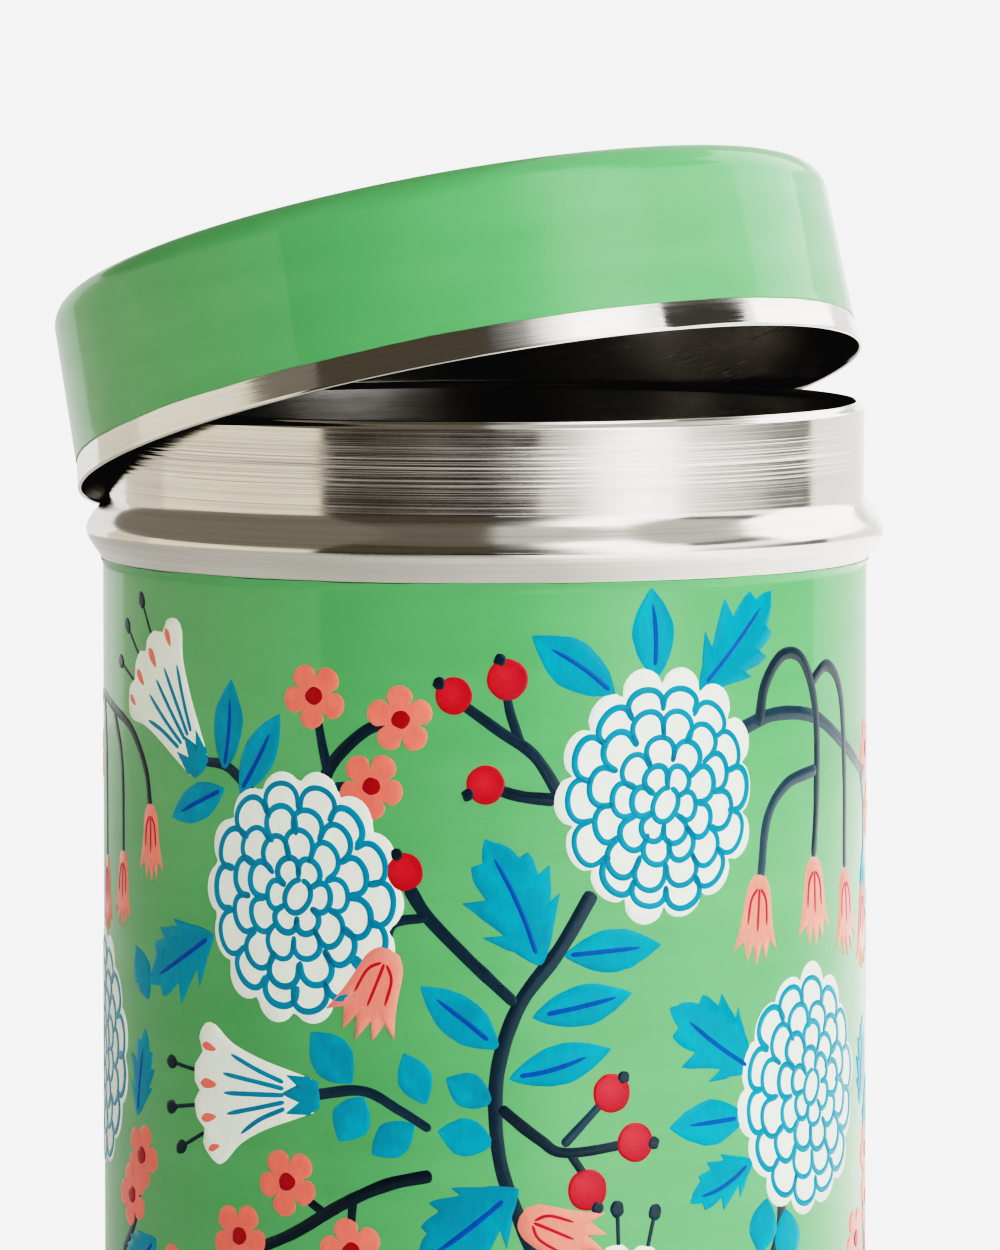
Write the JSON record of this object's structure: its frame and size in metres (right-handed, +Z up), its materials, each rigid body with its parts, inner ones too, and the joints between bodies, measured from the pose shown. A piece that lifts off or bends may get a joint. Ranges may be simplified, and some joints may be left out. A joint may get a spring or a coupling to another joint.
{
  "type": "painted steel canister with slip-on lid",
  "caption": "Tall round steel canister, enamelled and painted with flowers, with a bare turned neck and a loose slip-on lid lying tipped on it.",
  "frame": {"origin": "on the canister's axis, in the plane of its foot", "axes": "+Z up along the canister's axis, -Y towards the side shown in front, +X to that side's right"},
  "size_m": [0.1194, 0.12, 0.2004],
  "materials": {
    "turned_steel": "satin",
    "bare_steel": "satin",
    "green_enamel": "gloss",
    "white_paint": "gloss",
    "blue_paint": "gloss",
    "navy_paint": "gloss",
    "coral_paint": "gloss",
    "red_paint": "gloss"
  },
  "bodies": {
    "canister": {"base_plate": "bare_steel", "body_shell": "turned_steel", "body_enamel": "green_enamel"},
    "lid": {"lid_shell": "bare_steel", "lid_enamel": "green_enamel"}
  },
  "joints": [
    {"name": "lid_tip", "type": "hinge", "parent": "canister", "child": "lid", "pos_m": [-0.03313, 0.03718, 0.1419], "axis": [-0.7466, -0.6652, 0], "range_deg": [-15.8, 66]}
  ]
}
